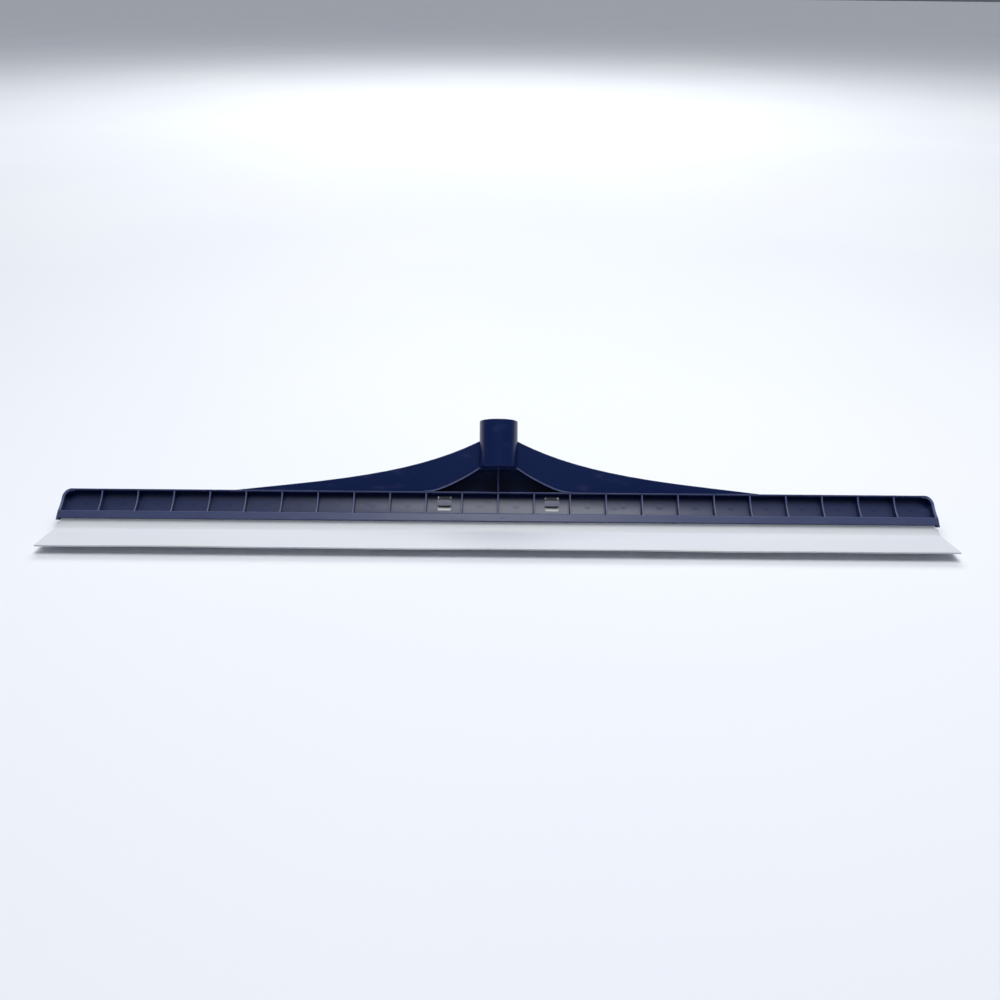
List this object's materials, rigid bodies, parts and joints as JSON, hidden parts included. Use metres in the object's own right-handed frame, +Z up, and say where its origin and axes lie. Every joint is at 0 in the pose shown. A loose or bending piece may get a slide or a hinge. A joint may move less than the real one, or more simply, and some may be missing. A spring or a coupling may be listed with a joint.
{
  "type": "floor squeegee head",
  "caption": "Wide push squeegee head: a ribbed moulded frame with raised wings and a handle socket, and a snap-in cassette with a soft curved wiping blade.",
  "frame": {"origin": "on the floor, under the middle of the lying head's box", "axes": "+X along the head from its left end to its right end, seen from the ribbed side; +Y towards the head's back; +Z up, as the head lies on its back on a floor"},
  "size_m": [0.75, 0.1138, 0.0839],
  "materials": {
    "navy_plastic": "injection-moulded navy polypropylene, satin with soft gloss on the edges",
    "white_plastic": "rigid off-white plastic",
    "white_rubber": "soft off-white rubber, matte"
  },
  "bodies": {
    "head": {"frame": "navy_plastic", "handle_socket": "navy_plastic"},
    "cassette": {"blade_carrier": "white_plastic", "snap_clip_left": "white_plastic", "snap_clip_right": "white_plastic", "blade_root": "white_rubber"},
    "lip": {"blade_lip": "white_rubber"}
  },
  "joints": [
    {"name": "cassette_release", "type": "slide", "parent": "head", "child": "cassette", "axis": [0, -0.809, -0.5878], "range_m": [0, 0.03]},
    {"name": "blade_flex", "type": "hinge", "parent": "cassette", "child": "lip", "pos_m": [0, -0.01433, 0.0033], "axis": [1, 0, 0], "range_deg": [-20, 45], "stiffness_Nm_per_rad": 0.8, "springref_deg": -0.86}
  ]
}
